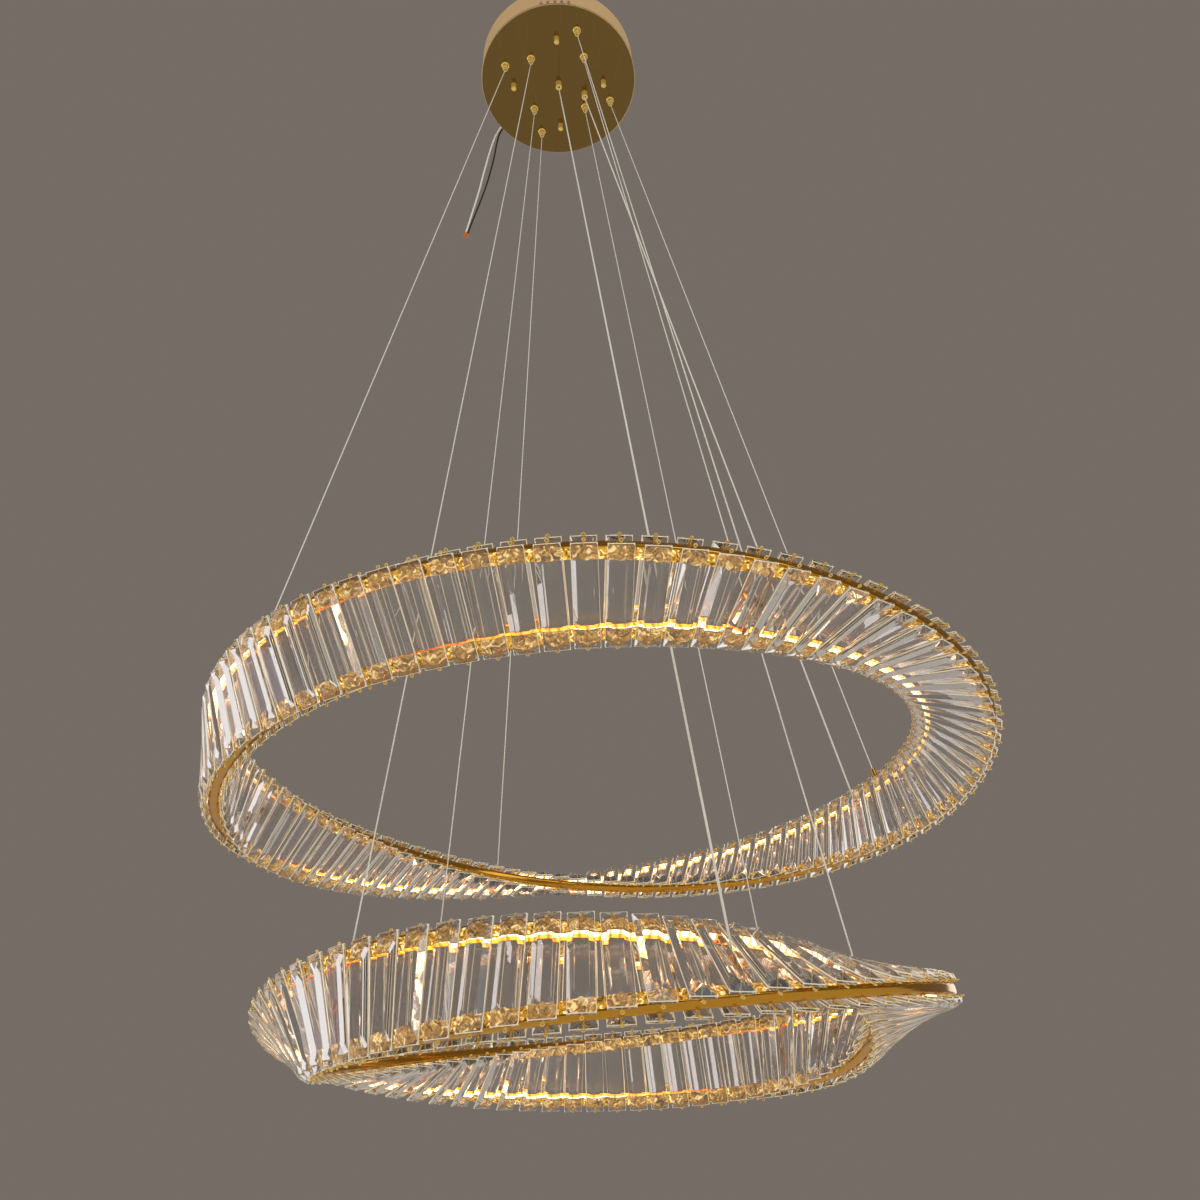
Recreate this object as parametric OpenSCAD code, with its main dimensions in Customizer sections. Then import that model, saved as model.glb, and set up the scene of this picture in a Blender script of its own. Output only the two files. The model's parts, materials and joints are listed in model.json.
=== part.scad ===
// Two-ring crystal chandelier: a round ceiling canopy and two twisted bands of crystal bars
// on thin wires. Millimetres, +Z up, origin on the ceiling at the middle of the canopy.
// The near side of the object is -Y.

/* [Canopy] */
// Diameter of the mirror plate under the canopy
plate_d = 280; // [260:1:320]
// Thickness of the mirror plate
plate_t = 3; // [2:0.5:4]
// Height of the canopy from the ceiling to the underside of the plate
canopy_h = 52; // [50:1:70]
// Wall thickness of the canopy pan
pan_wall = 1.5; // [1:0.1:2.5]
// How far the plate stands out past the pan wall
plate_lip = 2; // [1:0.5:4]
// Radius of the circle of cap nuts
stud_circle_r = 82; // [76:1:88]
// Width of the arms of the ceiling bracket
bracket_w = 30; // [24:1:36]
// Thickness of the ceiling bracket
bracket_t = 2; // [1.5:0.5:3]
// Spacing of the two ceiling screw slots
ceiling_slot_spacing = 100; // [80:1:120]
// Radius of a ceiling screw slot
ceiling_slot_r = 2.6; // [2:0.1:3]
// End to end length of a ceiling screw slot
ceiling_slot_l = 24; // [16:1:28]

/* [Wire grippers] */
// Radius of the circle of grippers for the upper ring
outer_grip_r = 101; // [96:1:106]
// Radius of the circle of grippers for the lower ring
inner_grip_r = 67; // [64:1:71]
// Diameter of the gripper barrel
grip_d = 11; // [10.5:0.5:13]
// Height of the gripper barrel below the plate
grip_h = 10; // [8:0.5:14]
// Diameter of the sliding release collar
collar_d = 7; // [6.5:0.1:7.5]
// Travel of the release collar
collar_travel = 2; // [1:0.1:2.5]
// Diameter of a hanging wire
wire_d = 1.2; // [0.8:0.1:1.5]

/* [Upper ring] */
// Radius of the middle of the upper band
upper_r = 400; // [380:1:420]
// Drop from the plate to the middle of the upper band
upper_drop = 1362; // [1200:1:1500]
// Crystals on each face of the upper band
upper_crystals = 96; // [96]
// Turn of the band about its own middle at azimuth zero
upper_start = -206.6; // [-360:0.1:360]
// Azimuth of the first hanging wire of the upper ring
upper_wire_az = 21; // [0:0.5:89]

/* [Lower ring] */
// Radius of the middle of the lower band
lower_r = 300; // [295:1:310]
// Drop from the plate to the middle of the lower band
lower_drop = 1629; // [1520:1:1800]
// Crystals on each face of the lower band
lower_crystals = 72; // [72]
// Turn of the band about its own middle at azimuth zero
lower_start = 60.5; // [-360:0.1:360]
// Azimuth of the first hanging wire of the lower ring
lower_wire_az = 45; // [0:0.5:89]

/* [Band] */
// Half width of the band, from its middle to the outer face of a rail
band_half = 42; // [40:0.5:44]
// Thickness of the rail, across the band
rail_t = 11; // [10:0.5:11.5]
// Depth of the rail channel
rail_depth = 13; // [11:0.5:15]
// Wall of the rail channel
rail_wall = 1.2; // [0.8:0.1:1.5]
// Width of the light strip inside the rail
strip_w = 7; // [5:0.5:7.5]
// How far the face of the light strip lies inside the mouth of the rail
strip_inset = 4; // [3.5:0.5:6]

/* [Crystals] */
// Length of a crystal bar
crystal_l = 89; // [85:0.5:90]
// Width of a crystal bar
crystal_w = 21.5; // [20:0.1:22]
// Thickness of a crystal bar
crystal_t = 7; // [6:0.1:8]
// Height of the square edge under the bevels
crystal_edge = 2.5; // [2:0.1:3]
// Width of the long bevels
crystal_bevel = 5; // [4:0.1:6]
// Length of the end facets at the corners of the table
crystal_end = 16; // [12:0.5:20]
// Length of the end facets at the points of the table
crystal_point = 8; // [6:0.5:10]
// Free space between the rail and the back of a crystal
crystal_standoff = 2.7; // [2.7:0.1:3.2]
// Width of the stem of an eye pin
pin_d = 1.2; // [1:0.1:1.4]
// Outer diameter of the eye of a pin
eye_d = 4.6; // [4:0.1:5]

/* [Mains lead] */
// Diameter of each core of the mains lead
core_d = 3; // [2.5:0.1:3.5]

/* [Hidden] */
$fn = 48;
eps = 0.05;
gap = 0.3;
plate_top = -canopy_h + plate_t;
plate_under = -canopy_h;

// A ring as a list: radius, height of its middle, turn at azimuth zero, whole turns, how far the
// twist runs ahead of an even one once round and where, the same twice round, crystals per face,
// azimuth of the first wire, number of flat steps round the rail.
UPPER = [upper_r, plate_under - upper_drop, upper_start, 1, 12, 146, 6, 21.5,
    upper_crystals, upper_wire_az, 72];
LOWER = [lower_r, plate_under - lower_drop, lower_start, -1, -2.4, 90, -5.6, 45,
    lower_crystals, lower_wire_az, 54];

function ring_r(ring) = ring[0];
function ring_z(ring) = ring[1];
function crystals(ring) = ring[8];
function wire_az(ring, k) = ring[9] + 90 * k;
function steps(ring) = ring[10];
function turn(ring, az) = ring[2] + ring[3] * az + ring[4] * cos(az - ring[5])
    + ring[6] * cos(2 * (az - ring[7]));

// A point of the band at an azimuth: w across the band from its middle, n out of its face.
function band_point(ring, az, w, n) =
    let (p = turn(ring, az))
    let (r = ring_r(ring) + w * sin(p) + n * cos(p))
    [r * cos(az), r * sin(az), ring_z(ring) + w * cos(p) - n * sin(p)];

// Places children in the band's own frame: X along the ring, Y across the band, Z out of its face.
module at_band(ring, az) {
    translate([0, 0, ring_z(ring)])
        rotate([0, 0, az])
            translate([ring_r(ring), 0, 0])
                rotate([90, 0, 90])
                    rotate([turn(ring, az), 0, 0])
                        children();
}

// Sweeps a section, a list of [n, w] points, once round the band. Its corners stand out by half the
// depth of a flat step, so that the steps lie evenly on both sides of the true curve. The faces that
// start at the corners in hollow look into a channel, and are split the other way, which keeps the
// channel's walls even where the band twists.
module band_sweep(ring, section, hollow = []) {
    count = steps(ring);
    m = len(section);
    out = 2 / (1 + cos(180 / count));
    points = [
        for (i = [0 : count - 1], q = section)
            let (p = band_point(ring, i * 360 / count, q[1], q[0]))
            [p[0] * out, p[1] * out, p[2]]
    ];
    faces = [
        for (i = [0 : count - 1], j = [0 : m - 1])
            let (a = i * m + j, b = i * m + (j + 1) % m)
            let (c = ((i + 1) % count) * m + (j + 1) % m, d = ((i + 1) % count) * m + j)
            each len(search(j, hollow)) > 0 ? [[a, b, d], [b, c, d]] : [[a, b, c], [a, c, d]]
    ];
    polyhedron(points = points, faces = faces, convexity = 10);
}

// Rails and light strips
rail_half = rail_t / 2;
mouth = band_half - rail_depth;
web_in = band_half - rail_wall;
RAIL = [
    [-rail_half, band_half], [-rail_half, mouth],
    [-rail_half + rail_wall, mouth], [-rail_half + rail_wall, web_in],
    [rail_half - rail_wall, web_in], [rail_half - rail_wall, mouth],
    [rail_half, mouth], [rail_half, band_half]
];
RAIL_HOLLOW = [2, 3, 4];
strip_gap = 0.7;
strip_face = mouth + strip_inset;
strip_back = web_in - strip_gap;
STRIP = [
    [-strip_w / 2, strip_back], [-strip_w / 2, strip_face],
    [strip_w / 2, strip_face], [strip_w / 2, strip_back]
];
function other_side(section) = [for (q = section) -q];

module rail(ring, section) color("goldenrod") band_sweep(ring, section, RAIL_HOLLOW);
module strip(ring, section) color("moccasin") band_sweep(ring, section);

// Crystal bars: flat back, square edge, long bevels and a table with pointed ends
module crystal() {
    x = crystal_w / 2;
    y = crystal_l / 2;
    tx = x - crystal_bevel;
    ty = y - crystal_end;
    tp = y - crystal_point;
    polyhedron(
        points = [
            [-x, -y, 0], [x, -y, 0], [x, y, 0], [-x, y, 0],
            [-x, -y, crystal_edge], [x, -y, crystal_edge], [x, y, crystal_edge], [-x, y, crystal_edge],
            [-tx, -ty, crystal_t], [0, -tp, crystal_t], [tx, -ty, crystal_t],
            [tx, ty, crystal_t], [0, tp, crystal_t], [-tx, ty, crystal_t]
        ],
        faces = [
            [0, 1, 2, 3],
            [4, 5, 1, 0], [5, 6, 2, 1], [6, 7, 3, 2], [7, 4, 0, 3],
            [13, 12, 11, 10, 9, 8],
            [10, 11, 6, 5], [13, 8, 4, 7],
            [8, 9, 4], [9, 5, 4], [9, 10, 5],
            [11, 12, 6], [12, 7, 6], [12, 13, 7]
        ]
    );
}
crystal_back = rail_half + crystal_standoff;
function crystal_az(ring, i) = wire_az(ring, 0) + (i + 0.5) * 360 / crystals(ring);

// One crystal behind the other, face is 1 for the outer face of the band and -1 for its inner one
module crystal_row(ring, face) {
    color("ghostwhite")
        for (i = [0 : crystals(ring) - 1])
            at_band(ring, crystal_az(ring, i))
                rotate([face > 0 ? 0 : 180, 0, 0])
                    translate([0, 0, crystal_back])
                        crystal();
}

// A pin fills the space between rail and crystal: a round seat under the crystal's end, a stem
// and an eye just past the end. Its gap to the rail allows for the rail's flat steps.
pin_gap = 0.55;
pin_t = crystal_standoff - pin_gap - gap;
eye_w = crystal_l / 2 + eye_d / 2 + gap;
eye_hole_d = eye_d - 2 * pin_d;
seat_w = band_half - 4;
seat_d = 3;
module eye_pin() {
    translate([0, 0, rail_half + pin_gap])
        linear_extrude(pin_t)
            difference() {
                union() {
                    translate([0, seat_w])
                        circle(d = seat_d);
                    translate([-pin_d / 2, seat_w])
                        square([pin_d, eye_w - seat_w]);
                    translate([0, eye_w])
                        circle(d = eye_d);
                }
                translate([0, eye_w])
                    circle(d = eye_hole_d);
            }
}
module pin_row(ring, face) {
    color("gold")
        for (i = [0 : crystals(ring) - 1], end = [0, 180])
            at_band(ring, crystal_az(ring, i))
                rotate([face > 0 ? 0 : 180, 0, 0])
                    rotate([0, 0, end])
                        eye_pin();
}

// A bridge joins the two rails wherever a wire or a feed cable ends: two thin rods, one on each
// side of the cable, with a shoe in the mouth of each rail
rod_d = 1.6;
rod_x = 3.1;
shoe_w = 8;
shoe_gap = 0.95;
shoe_t = rail_t - 2 * (rail_wall + shoe_gap);
shoe_end = strip_face - 1;
module bridge() {
    for (x = [-rod_x, rod_x])
        translate([x, 0, 0])
            rotate([90, 0, 0])
                cylinder(d = rod_d, h = 2 * (mouth + 1), center = true, $fn = 16);
    for (side = [-1, 1])
        translate([0, side * (mouth + shoe_end) / 2, 0])
            cube([shoe_w, shoe_end - mouth, shoe_t], center = true);
}

// Every wire of a ring runs on a line through one point above the plate, on the axis. It swings
// just inside the lower end of its release collar.
collar_h = 8;
collar_in = 3.5;
collar_end = plate_under - grip_h + collar_in - collar_h;
pivot_z = collar_end + 1;
function wire_slope(ring, grip_r) = (ring_r(ring) - grip_r) / (pivot_z - ring_z(ring));
function wire_lean(ring, grip_r) = atan(wire_slope(ring, grip_r));
function wire_length(ring, grip_r) = norm([ring_r(ring) - grip_r, pivot_z - ring_z(ring)]);

// Places children on a wire's line: Z up along the wire from the middle of the band
module at_wire_foot(ring, grip_r, k) {
    translate([0, 0, ring_z(ring)])
        rotate([0, 0, wire_az(ring, k)])
            translate([ring_r(ring), 0, 0])
                rotate([0, -wire_lean(ring, grip_r), 0])
                    children();
}

// How far above the middle of the band each wire is held: one wire of the upper ring meets
// the top rail edge on, so that its boss stands on the rail, on a foot that fits between two
// crystals. The others hang from bridges.
boss_d = 6.4;
boss_h = 9;
boss_bore_d = 2.2;
pocket_d = 4.4;
pocket_h = 5;
stop_d = 3.4;
stop_h = 3;
stop_clear = 0.4;
foot_w = 4;
foot_t = 1;
foot_h = 3;
foot_gap = 0.5;
UPPER_HOLD = [band_half + foot_gap + foot_h + boss_h / 2, 0, 0, 0];
LOWER_HOLD = [0, 0, 0, 0];
module boss_body() cylinder(d = boss_d, h = boss_h, center = true);
module boss_foot() {
    translate([pocket_d / 2, -foot_w / 2, -boss_h / 2 - foot_h])
        cube([foot_t, foot_w, foot_h + 1]);
}
module boss_bores() {
    cylinder(d = boss_bore_d, h = boss_h + 2, center = true);
    translate([0, 0, -boss_h / 2 - 1])
        cylinder(d = pocket_d, h = pocket_h + 1);
}
module hangers(ring, grip_r, hold) {
    color("goldenrod")
        for (k = [0 : 3])
            difference() {
                union() {
                    if (hold[k] == 0)
                        at_band(ring, wire_az(ring, k))
                            bridge();
                    at_wire_foot(ring, grip_r, k)
                        translate([0, 0, hold[k]]) {
                            boss_body();
                            if (hold[k] > 0)
                                boss_foot();
                        }
                }
                at_wire_foot(ring, grip_r, k)
                    translate([0, 0, hold[k]])
                        boss_bores();
            }
}

// A hanging wire with its crimped stop, which hangs in the boss pocket
wire_top = 2;
module hanging_wire(ring, grip_r, k, hold) {
    stop_top = hold - boss_h / 2 + pocket_h - stop_clear;
    color("silver")
        at_wire_foot(ring, grip_r, k) {
            translate([0, 0, stop_top - stop_h / 2])
                cylinder(d = wire_d, h = wire_length(ring, grip_r) + wire_top - stop_top + stop_h / 2,
                    $fn = 16);
            translate([0, 0, stop_top - stop_h])
                cylinder(d = stop_d, h = stop_h);
        }
}

// Feed cables: each leaves its gland and enters a bush on a bridge, in a gap between two crystals
feed_d = 2.2;
FEEDS = [
    [UPPER, [47, 20.5], wire_az(UPPER, 0) + 2 * 360 / crystals(UPPER)],
    [LOWER, [0, 0], wire_az(LOWER, 3) - 5 * 360 / crystals(LOWER)]
];
bush_d = 6;
bush_h = 10;
bush_bore_d = 3.4;
gland_h = 14;
feed_pivot_z = plate_under - gland_h - 2;
feed_tail = 4;
feed_top = 3;
function feed_foot(feed) = band_point(feed[0], feed[2], 0, 0);
function feed_vector(feed) = [feed[1][0], feed[1][1], feed_pivot_z] - feed_foot(feed);
module along(v) rotate([0, acos(v[2] / norm(v)), atan2(v[1], v[0])]) children();

module feed_cable(feed) {
    color("whitesmoke")
        translate(feed_foot(feed))
            along(feed_vector(feed))
                translate([0, 0, -feed_tail])
                    cylinder(d = feed_d, h = norm(feed_vector(feed)) + feed_tail + feed_top, $fn = 16);
}
module feed_bush(feed) {
    color("goldenrod")
        difference() {
            union() {
                at_band(feed[0], feed[2])
                    bridge();
                translate(feed_foot(feed))
                    along(feed_vector(feed))
                        cylinder(d = bush_d, h = bush_h, center = true);
            }
            translate(feed_foot(feed))
                along(feed_vector(feed))
                    cylinder(d = bush_bore_d, h = bush_h + 2, center = true);
        }
}

// Canopy
pan_r = plate_d / 2 - plate_lip;
stud_d = 5;
stud_hole_d = 5.6;
shank_d = 8;
shank_hole_d = 8.4;
gland_d = 11;
gland_bore_d = 5;
seat_gap = 0.1;
thread_gap = 0.2;
GRIPS = [for (k = [0 : 3]) each [[outer_grip_r, wire_az(UPPER, k)], [inner_grip_r, wire_az(LOWER, k)]]];
GLANDS = [for (feed = FEEDS) feed[1]];
module at_polar(r, az) rotate([0, 0, az]) translate([r, 0, 0]) rotate([0, 0, -az]) children();
module at_studs() for (k = [0 : 3]) at_polar(stud_circle_r, 90 * k) children();
module at_grips(first) {
    for (k = [0 : 3])
        at_polar(GRIPS[2 * k + first][0], GRIPS[2 * k + first][1])
            children();
}

bracket_end = 13;
bracket_l = 2 * (stud_circle_r + bracket_end);
module slot_cut(x) {
    straight = ceiling_slot_l - 2 * ceiling_slot_r;
    translate([x - straight / 2, -ceiling_slot_r, -2 * bracket_t])
        cube([straight, 2 * ceiling_slot_r, 4 * bracket_t]);
    for (side = [-1, 1])
        translate([x + side * straight / 2, 0, -2 * bracket_t])
            cylinder(r = ceiling_slot_r, h = 4 * bracket_t);
}
module ceiling_bracket() {
    color("silver")
        difference() {
            union() {
                translate([-bracket_l / 2, -bracket_w / 2, -bracket_t])
                    cube([bracket_l, bracket_w, bracket_t]);
                translate([-bracket_w / 2, -bracket_l / 2, -bracket_t])
                    cube([bracket_w, bracket_l, bracket_t]);
            }
            for (side = [-1, 1])
                slot_cut(side * ceiling_slot_spacing / 2);
            at_studs()
                translate([0, 0, -2 * bracket_t])
                    cylinder(d = stud_hole_d, h = 4 * bracket_t);
        }
}
stud_end = plate_under - 6;
module bracket_studs() {
    color("silver")
        at_studs()
            translate([0, 0, stud_end])
                cylinder(d = stud_d, h = -eps - stud_end);
}
pan_flange = 12;
vent_w = 5;
vent_h = 9;
vents = 5;
vent_pitch = 5;
module canopy_pan() {
    color("burlywood")
        difference() {
            union() {
                difference() {
                    translate([0, 0, plate_top])
                        cylinder(r = pan_r, h = -plate_top, $fn = 96);
                    translate([0, 0, plate_top - 1])
                        cylinder(r = pan_r - pan_wall, h = -plate_top + 2, $fn = 96);
                }
                difference() {
                    translate([0, 0, plate_top])
                        cylinder(r = pan_r - pan_wall + eps, h = pan_wall, $fn = 96);
                    translate([0, 0, plate_top - 1])
                        cylinder(r = pan_r - pan_flange, h = pan_wall + 2, $fn = 96);
                }
            }
            for (side = [0 : 3], i = [0 : vents - 1])
                rotate([0, 0, 90 * side + (i - (vents - 1) / 2) * vent_pitch])
                    translate([pan_r - 4 * pan_wall, -vent_w / 2, plate_top + 4])
                        cube([8 * pan_wall, vent_w, vent_h]);
            rotate([0, 0, lead_az])
                translate([0, 0, lead_z])
                    rotate([0, 90, 0])
                        cylinder(d = grommet_d, h = 2 * pan_r);
        }
}
module canopy_plate() {
    color("darkgoldenrod")
        difference() {
            translate([0, 0, plate_under])
                cylinder(d = plate_d, h = plate_t, $fn = 96);
            at_studs()
                translate([0, 0, plate_under - 1])
                    cylinder(d = stud_hole_d, h = plate_t + 2);
            for (first = [0, 1])
                at_grips(first)
                    translate([0, 0, plate_under - 1])
                        cylinder(d = shank_hole_d, h = plate_t + 2);
            for (p = GLANDS)
                translate([p[0], p[1], plate_under - 1])
                    cylinder(d = shank_hole_d, h = plate_t + 2);
        }
}
cap_d = 9;
cap_h = 15;
cap_chamfer = 1.5;
module cap_nuts() {
    color("gold")
        at_studs()
            difference() {
                rotate([180, 0, 0])
                    translate([0, 0, seat_gap - plate_under])
                        rotate_extrude()
                            polygon([
                                [0, 0], [cap_d / 2, 0], [cap_d / 2, cap_h - cap_chamfer],
                                [cap_d / 2 - cap_chamfer, cap_h], [0, cap_h]
                            ]);
                translate([0, 0, stud_end - 1])
                    cylinder(d = stud_d + thread_gap, h = cap_h);
            }
}
// A six-sided nut that stands on the origin, round a thread of diameter d
module hex_nut(d, across, h) {
    difference() {
        cylinder(d = across, h = h, $fn = 6);
        translate([0, 0, -1])
            cylinder(d = d + thread_gap, h = h + 2);
    }
}
stud_nut_h = 4;
stud_nut_across = 9.2;
module bracket_nuts() {
    color("silver")
        at_studs()
            translate([0, 0, -bracket_t - thread_gap - stud_nut_h])
                hex_nut(stud_d, stud_nut_across, stud_nut_h);
}

// Grippers: barrel with a domed nose, bored for the release collar, and a shank through the plate
shank_nut_h = 4.5;
shank_nut_across = 14;
shank_top = plate_top + shank_nut_h + 2.5;
collar_bore_d = collar_d + 0.4;
collar_bore_h = collar_in + collar_travel + 1;
wire_way_d = 3;
flange_w = 1.5;
flange_t = 1.5;
nose_w = 1.5;
nose_h = 4;
module gripper() {
    r = grip_d / 2;
    difference() {
        union() {
            rotate([180, 0, 0])
                translate([0, 0, seat_gap - plate_under])
                    rotate_extrude()
                        polygon([
                            [0, 0], [r + flange_w, 0], [r + flange_w, flange_t], [r, flange_t + 1],
                            for (a = [0 : 30 : 90])
                                [r - nose_w * (1 - cos(a)), grip_h - nose_h * (1 - sin(a))],
                            [0, grip_h]
                        ]);
            translate([0, 0, plate_under - 1])
                cylinder(d = shank_d, h = shank_top - plate_under + 1);
        }
        translate([0, 0, plate_under - grip_h - 1])
            cylinder(d = collar_bore_d, h = collar_bore_h + 1);
        translate([0, 0, plate_under - grip_h - 1])
            cylinder(d = wire_way_d, h = 2 * canopy_h);
    }
}
module grippers(first) color("gold") at_grips(first) gripper();
module shank_nuts() {
    color("silver") {
        for (first = [0, 1])
            at_grips(first)
                shank_nut();
        for (p = GLANDS)
            translate([p[0], p[1], 0])
                shank_nut();
    }
}
module shank_nut() {
    translate([0, 0, plate_top + seat_gap])
        hex_nut(shank_d, shank_nut_across, shank_nut_h);
}
collar_wall = 1.3;
module collar(first, k) {
    color("gold")
        at_polar(GRIPS[2 * k + first][0], GRIPS[2 * k + first][1])
            translate([0, 0, collar_end])
                difference() {
                    cylinder(d = collar_d, h = collar_h);
                    translate([0, 0, -1])
                        cylinder(d = collar_d - 2 * collar_wall, h = collar_h + 2);
                }
}
module gland(p) {
    color("gold")
        translate([p[0], p[1], 0])
            difference() {
                union() {
                    translate([0, 0, plate_under - seat_gap - gland_h])
                        cylinder(d = gland_d, h = gland_h);
                    translate([0, 0, plate_under - 1])
                        cylinder(d = shank_d, h = shank_top - plate_under + 1);
                }
                translate([0, 0, plate_under - 2 * gland_h])
                    cylinder(d = gland_bore_d, h = 2 * gland_h + canopy_h);
            }
}

// Drivers and terminal block hang under the bracket
driver = [120, 36, 24];
driver_y = 40;
driver_hole_d = 4.2;
driver_hole_in = 6;
module driver_box(side) {
    color("white")
        translate([0, side * driver_y, -bracket_t - gap - driver[2]])
            difference() {
                translate([-driver[0] / 2, -driver[1] / 2, 0])
                    cube(driver);
                for (end = [-1, 1])
                    translate([end * (driver[0] / 2 - driver_hole_in), 0, -1])
                        cylinder(d = driver_hole_d, h = driver[2] + 2);
            }
}
block = [34, 18, 16];
block_x = 48;
way_pitch = 10;
way_d = 4;
module terminal_block() {
    color("ivory")
        translate([block_x, 0, -bracket_t - gap - block[2]])
            difference() {
                translate([-block[0] / 2, -block[1] / 2, 0])
                    cube(block);
                for (i = [-1 : 1])
                    translate([i * way_pitch, 0, block[2] / 2]) {
                        rotate([90, 0, 0])
                            cylinder(d = way_d, h = block[1] + 2, center = true);
                        translate([0, 0, -block[2]])
                            cylinder(d = way_d, h = block[2]);
                    }
            }
}

// Mains lead: two single cores leave a grommet in the pan wall, bend down and hang
lead_az = 138;
lead_z = -24;
grommet_d = 12;
grommet_neck = 5;
grommet_rim = 3;
core_side = 2.4;
grommet_face = pan_r + gap + grommet_rim;
module lead_grommet() {
    color("dimgray")
        rotate([0, 0, lead_az])
            translate([0, 0, lead_z])
                rotate([0, 90, 0])
                    difference() {
                        union() {
                            translate([0, 0, pan_r - grommet_neck])
                                cylinder(d = grommet_d - gap, h = grommet_neck + gap);
                            translate([0, 0, pan_r + gap])
                                cylinder(d = grommet_d + 4, h = grommet_rim);
                        }
                        for (side = [-1, 1])
                            translate([0, side * core_side, grommet_face - 1])
                                cylinder(d = core_d + 0.4, h = 2);
                    }
}
// Route of the cores: distance past the grommet's face, spread beside the middle line, height
LEAD = [
    [-1, 0, -24], [6, 0, -24], [13, 0, -25], [20, 0, -30], [26, 1, -39], [31, 2, -52],
    [36, 3, -68], [42, 4, -88], [49, 4, -110], [57, 4, -134], [66, 3, -159],
    [77, 2, -184], [89, 1, -209], [100, 0, -232], [107, 0, -247]
];
function lead_point(side, q) = [grommet_face + q[0], side * (core_side + q[1]), q[2]];
function smooth(a, b, c, d) = (-a + 9 * b + 9 * c - d) / 16;
function route(side) = [
    for (i = [0 : len(LEAD) - 1])
        each i == len(LEAD) - 1
            ? [lead_point(side, LEAD[i])]
            : [
                lead_point(side, LEAD[i]),
                smooth(
                    lead_point(side, LEAD[max(i - 1, 0)]), lead_point(side, LEAD[i]),
                    lead_point(side, LEAD[i + 1]), lead_point(side, LEAD[min(i + 2, len(LEAD) - 1)])
                )
            ]
];
// Sweeps a round tube along points that run mostly in the X-Z plane
module tube(points, d, sides) {
    n = len(points);
    ring = [
        for (i = [0 : n - 1])
            let (t = points[min(i + 1, n - 1)] - points[max(i - 1, 0)])
            let (u = cross([0, 1, 0], t) / norm(cross([0, 1, 0], t)), v = cross(t, u) / norm(cross(t, u)))
            for (j = [0 : sides - 1])
                points[i] + d / 2 * (u * cos(j * 360 / sides) + v * sin(j * 360 / sides))
    ];
    faces = concat(
        [[for (j = [0 : sides - 1]) j]],
        [
            for (i = [0 : n - 2], j = [0 : sides - 1])
                let (a = i * sides + j, b = i * sides + (j + 1) % sides)
                each [[a, a + sides, b], [b, a + sides, b + sides]]
        ],
        [[for (j = [sides - 1 : -1 : 0]) (n - 1) * sides + j]]
    );
    polyhedron(points = ring, faces = faces, convexity = 10);
}
module lead_core(side, tint) {
    color(tint)
        rotate([0, 0, lead_az])
            tube(route(side), core_d, 8);
}
tip_d = 5;
tip_l = 9;
tip_edge = 0.4;
module lead_tips() {
    last = LEAD[len(LEAD) - 1];
    back = LEAD[len(LEAD) - 2];
    lean = atan2(last[0] - back[0], back[2] - last[2]);
    color("chocolate")
        rotate([0, 0, lead_az])
            for (side = [-1, 1])
                translate(lead_point(side, last))
                    rotate([0, 180 - lean, 0])
                        rotate_extrude()
                            polygon([
                                [0, seat_gap], [tip_d / 2 - tip_edge, seat_gap],
                                [tip_d / 2, seat_gap + tip_edge],
                                [tip_d / 2, tip_l - 3], [core_d / 3, tip_l], [0, tip_l]
                            ]);
}

ceiling_bracket();
bracket_studs();
bracket_nuts();
canopy_pan();
canopy_plate();
cap_nuts();
grippers(0);  // outer_grippers
grippers(1);  // inner_grippers
shank_nuts();
for (k = [0 : 3]) {
    collar(0, k);
    collar(1, k);
    hanging_wire(UPPER, outer_grip_r, k, UPPER_HOLD[k]);
    hanging_wire(LOWER, inner_grip_r, k, LOWER_HOLD[k]);
}
gland(GLANDS[0]);  // upper_gland
gland(GLANDS[1]);  // lower_gland
driver_box(1);  // upper_driver
driver_box(-1);  // lower_driver
terminal_block();
lead_grommet();
lead_core(1, "white");  // lead_white
lead_core(-1, "dimgray");  // lead_black
lead_tips();
rail(UPPER, RAIL);  // upper_rail_a
rail(UPPER, other_side(RAIL));  // upper_rail_b
strip(UPPER, STRIP);  // upper_strip_a
strip(UPPER, other_side(STRIP));  // upper_strip_b
hangers(UPPER, outer_grip_r, UPPER_HOLD);  // upper_hangers
crystal_row(UPPER, 1);  // upper_crystals_out
crystal_row(UPPER, -1);  // upper_crystals_in
pin_row(UPPER, 1);  // upper_pins_out
pin_row(UPPER, -1);  // upper_pins_in
feed_bush(FEEDS[0]);  // upper_bush
feed_cable(FEEDS[0]);  // upper_feed
rail(LOWER, RAIL);  // lower_rail_a
rail(LOWER, other_side(RAIL));  // lower_rail_b
strip(LOWER, STRIP);  // lower_strip_a
strip(LOWER, other_side(STRIP));  // lower_strip_b
hangers(LOWER, inner_grip_r, LOWER_HOLD);  // lower_hangers
crystal_row(LOWER, 1);  // lower_crystals_out
crystal_row(LOWER, -1);  // lower_crystals_in
pin_row(LOWER, 1);  // lower_pins_out
pin_row(LOWER, -1);  // lower_pins_in
feed_bush(FEEDS[1]);  // lower_bush
feed_cable(FEEDS[1]);  // lower_feed
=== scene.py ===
"""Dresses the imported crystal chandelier: crystals, gilt rails, light strips, pins and cables.

It also sets the stage: the camera, the floor and the light.
"""

import json
import math
from typing import NamedTuple

import bmesh
import bpy
from bpy.props import FloatProperty, FloatVectorProperty, IntProperty, PointerProperty
from mathutils import Matrix, Vector


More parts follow.
